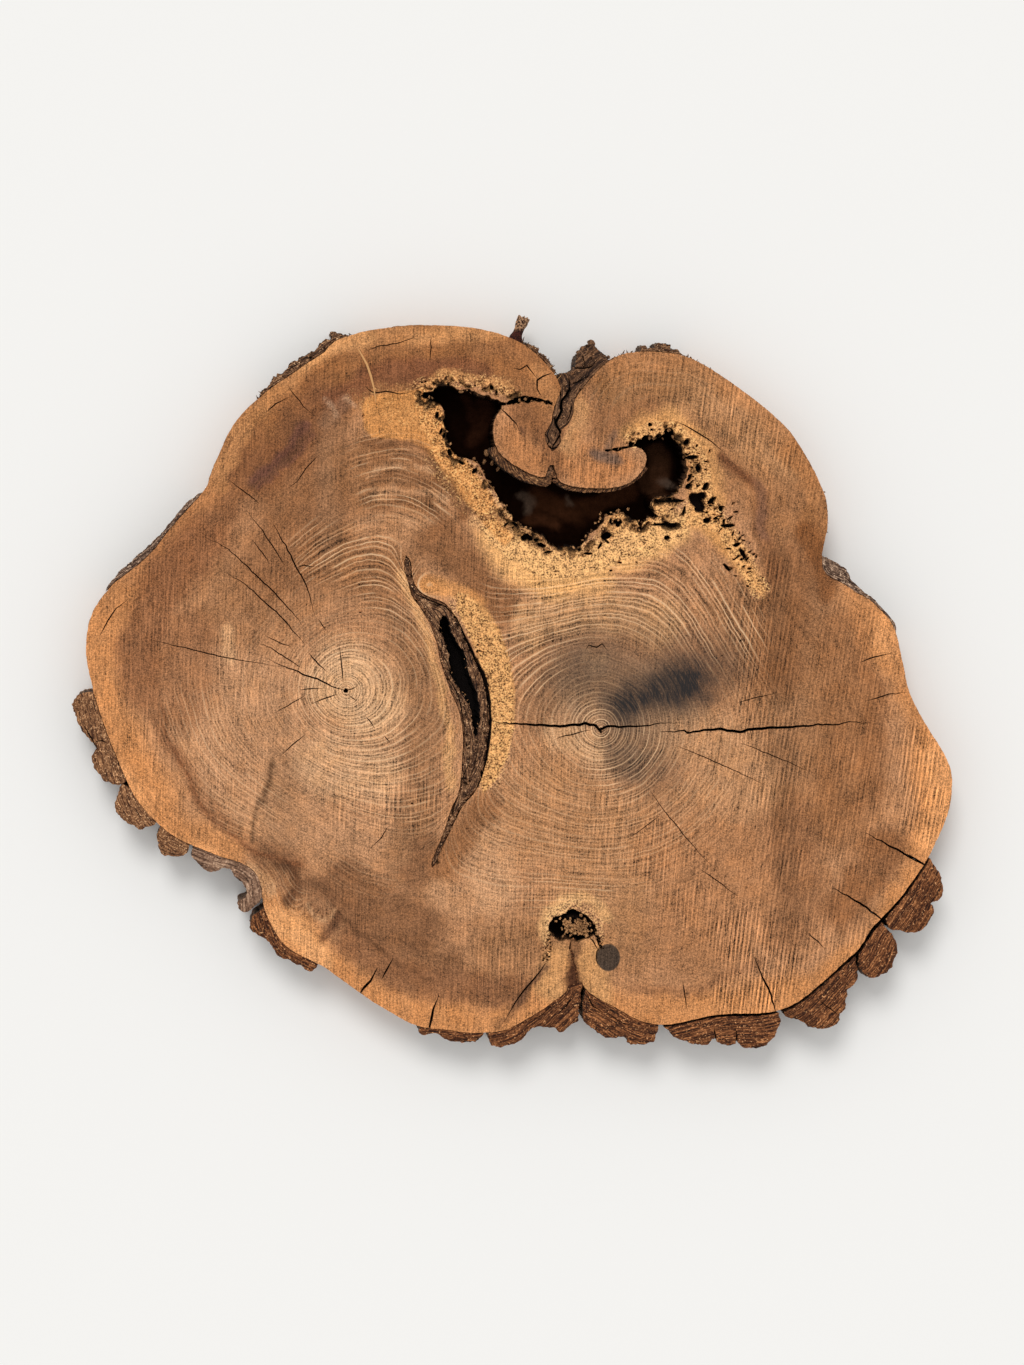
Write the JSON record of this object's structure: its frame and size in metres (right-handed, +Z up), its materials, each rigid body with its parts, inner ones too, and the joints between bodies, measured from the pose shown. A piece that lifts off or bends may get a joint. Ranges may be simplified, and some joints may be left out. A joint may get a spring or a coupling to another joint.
{
  "type": "wood slice",
  "caption": "Wide slice sawn across a trunk of joined stems, lying flat: growth rings, a rot hollow, an ingrown seam of bark and bark plates along the rim.",
  "frame": {"origin": "centre of the bounding box, on the underside", "axes": "+Z up out of the pictured face, +X across its widest way, +Y up the face as pictured"},
  "size_m": [1.0717, 0.8913, 0.0635],
  "materials": {
    "wood": "rough sawn",
    "bark": "rough bark",
    "grey_bark": "weathered bark",
    "inner_bark": "fibrous inner bark",
    "twig": "dry twig"
  },
  "bodies": {
    "root": {"bark_below_fold": "bark", "bark_bottom": "bark", "bark_corner_lower": "bark", "bark_corner_middle": "bark", "bark_corner_upper": "bark", "bark_crotch": "bark", "bark_fold": "grey_bark", "bark_foot": "bark", "bark_left_lower": "bark", "bark_left_middle": "bark", "bark_left_upper": "bark", "bark_right_notch": "grey_bark", "bark_seam": "bark", "bark_upper_left": "grey_bark", "bark_wedge_left": "bark", "bark_wedge_right": "bark", "fringe_crotch": "bark", "fringe_upper_left": "bark", "fringe_upper_right": "bark", "skin_left_horn": "inner_bark", "skin_right_horn": "inner_bark", "twig": "twig", "wood": "wood"}
  },
  "joints": []
}
